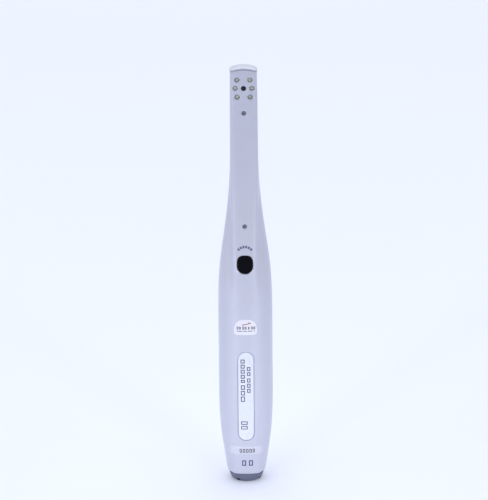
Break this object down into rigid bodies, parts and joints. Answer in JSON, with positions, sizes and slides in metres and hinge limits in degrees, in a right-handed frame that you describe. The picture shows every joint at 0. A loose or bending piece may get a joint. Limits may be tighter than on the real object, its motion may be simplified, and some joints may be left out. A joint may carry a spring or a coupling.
{
  "type": "intraoral camera",
  "caption": "Slim silver wand with a lens ringed by clear LEDs at its head, a black freeze button on its grip and a round cable socket in its tail.",
  "frame": {"origin": "centre of the underside of the tail, where the handpiece stands", "axes": "+Z along the wand from tail to head, -Y out of the front with the lens and button, +X to the right of a viewer facing the front"},
  "size_m": [0.026, 0.0239, 0.205],
  "materials": {
    "silver_shell": "satin silver paint on moulded plastic",
    "cap_grey": "fine matt dark blue-grey plastic",
    "black_button": "polished black plastic",
    "white_plate": "satin white label plate",
    "label_film": "thin satin label film",
    "clear_led": "clear water-white resin",
    "lens_glass": "polished glass",
    "black_plastic": "moulded black plastic",
    "board_green": "solder mask on glass-fibre board",
    "chip_black": "moulded epoxy",
    "steel": "plated steel",
    "contact_brass": "gold-flashed brass",
    "ribbon_film": "amber polyimide film",
    "wire_jacket_red": "soft vinyl",
    "wire_jacket_white": "soft vinyl",
    "wire_jacket_green": "soft vinyl",
    "wire_jacket_black": "soft vinyl"
  },
  "bodies": {
    "housing": {"board_screw_lower": "steel", "board_screw_upper": "steel", "crystal": "steel", "end_cap": "cap_grey", "front_shell": "silver_shell", "image_sensor": "chip_black", "led_board": "board_green", "led_lower_left": "clear_led", "led_lower_right": "clear_led", "led_middle_left": "clear_led", "led_middle_right": "clear_led", "led_upper_left": "clear_led", "led_upper_right": "clear_led", "lens": "lens_glass", "lens_barrel": "black_plastic", "lens_window": "lens_glass", "main_board": "board_green", "memory_chip": "chip_black", "model_plate": "white_plate", "neck_ribbon": "ribbon_film", "power_capacitor": "steel", "rear_shell": "silver_shell", "ribbon_connector": "chip_black", "seal_sticker": "label_film", "sensor_board": "board_green", "sensor_holder": "black_plastic", "serial_sticker": "label_film", "shell_screw_lower": "steel", "shell_screw_upper": "steel", "socket_contact_1": "contact_brass", "socket_contact_2": "contact_brass", "socket_contact_3": "contact_brass", "socket_contact_4": "contact_brass", "socket_contact_5": "contact_brass", "socket_contact_6": "contact_brass", "socket_insulator": "black_plastic", "socket_shell": "steel", "tact_switch": "chip_black", "video_processor": "chip_black", "voltage_regulator": "chip_black", "wire_black": "wire_jacket_black", "wire_green": "wire_jacket_green", "wire_red": "wire_jacket_red", "wire_white": "wire_jacket_white"},
    "freeze_button": {"freeze_button": "black_button"},
    "switch_plunger": {"switch_plunger": "black_plastic"}
  },
  "joints": [
    {"name": "freeze_button_press", "type": "slide", "parent": "housing", "child": "freeze_button", "axis": [0, 1, 0], "range_m": [0, 0.0005], "stiffness_N_per_m": 1500, "springref_m": -0.0005},
    {"name": "switch_plunger_press", "type": "slide", "parent": "housing", "child": "switch_plunger", "axis": [0, 1, 0], "range_m": [0, 0.00025]}
  ],
  "couplings": [
    {"joint": "switch_plunger_press", "follows": "freeze_button_press", "ratio": 0.5}
  ]
}
